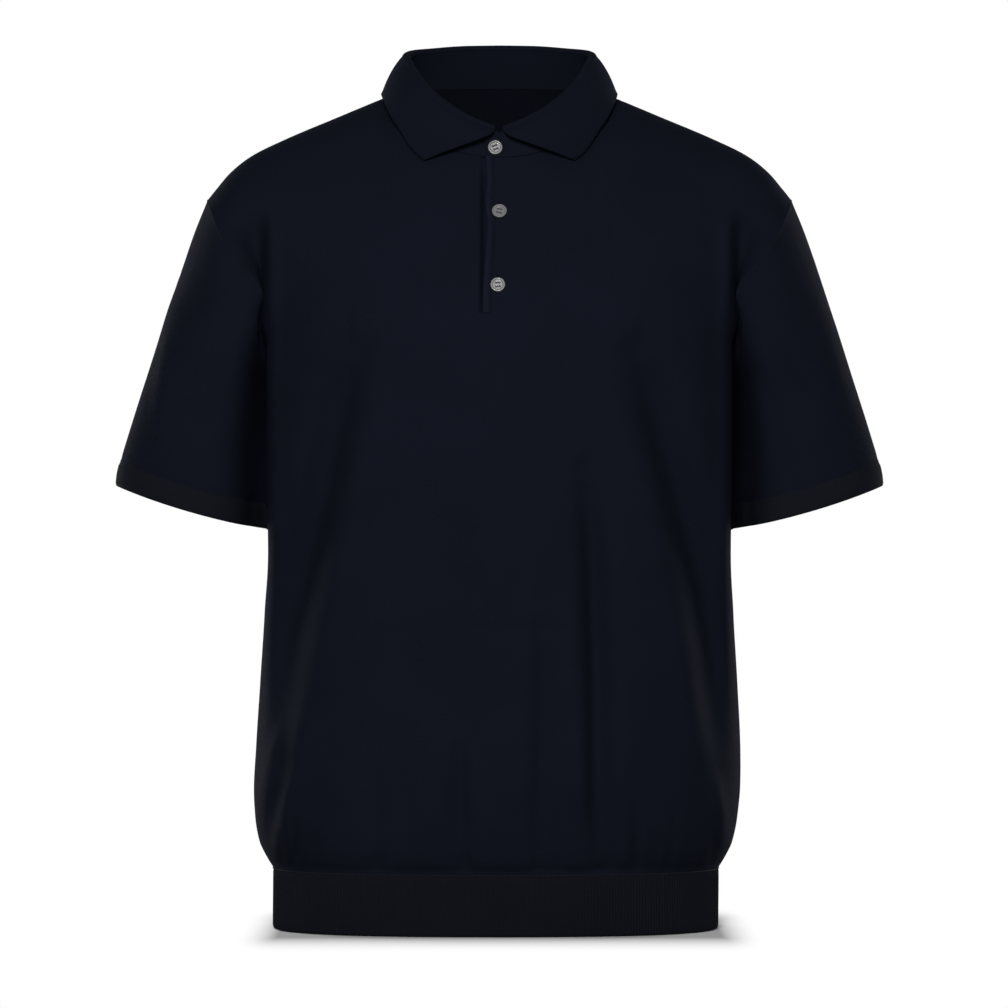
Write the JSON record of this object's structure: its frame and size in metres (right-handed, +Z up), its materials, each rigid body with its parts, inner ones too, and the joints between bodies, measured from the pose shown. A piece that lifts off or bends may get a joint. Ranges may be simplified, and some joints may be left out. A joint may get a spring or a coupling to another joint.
{
  "type": "knit polo sweater",
  "caption": "Short-sleeved fine-knit polo sweater, hollow as worn, with a turned-down collar, a buttoned placket, dropped shoulders, narrow sleeve bands and a ribbed waistband.",
  "frame": {"origin": "middle of the neck opening, level with the tops of the shoulders, where the wearer's shoulders carry the garment", "axes": "+Z up along the body, the front faces -Y, +X towards the wearer's left sleeve"},
  "size_m": [0.6468, 0.2266, 0.7454],
  "materials": {
    "body_knit": "fine-gauge navy jersey knit, matt",
    "band_knit": "navy jersey knit, doubled, matt",
    "rib_knit": "fine 1x1 navy rib, matt",
    "collar_knit": "flat-knitted navy collar cloth, slightly lighter and bluer",
    "button_horn": "grey mother-of-pearl look, four holes, low gloss"
  },
  "bodies": {
    "root": {"front_panel": "body_knit", "back_panel": "body_knit", "sleeve_left": "body_knit", "sleeve_right": "body_knit", "cuff_left": "band_knit", "cuff_right": "band_knit", "placket_over": "band_knit", "placket_under": "band_knit", "waist_rib": "rib_knit", "collar_stand": "collar_knit", "collar_fall": "collar_knit", "button_collar": "button_horn", "button_upper": "button_horn", "button_lower": "button_horn"}
  },
  "joints": []
}
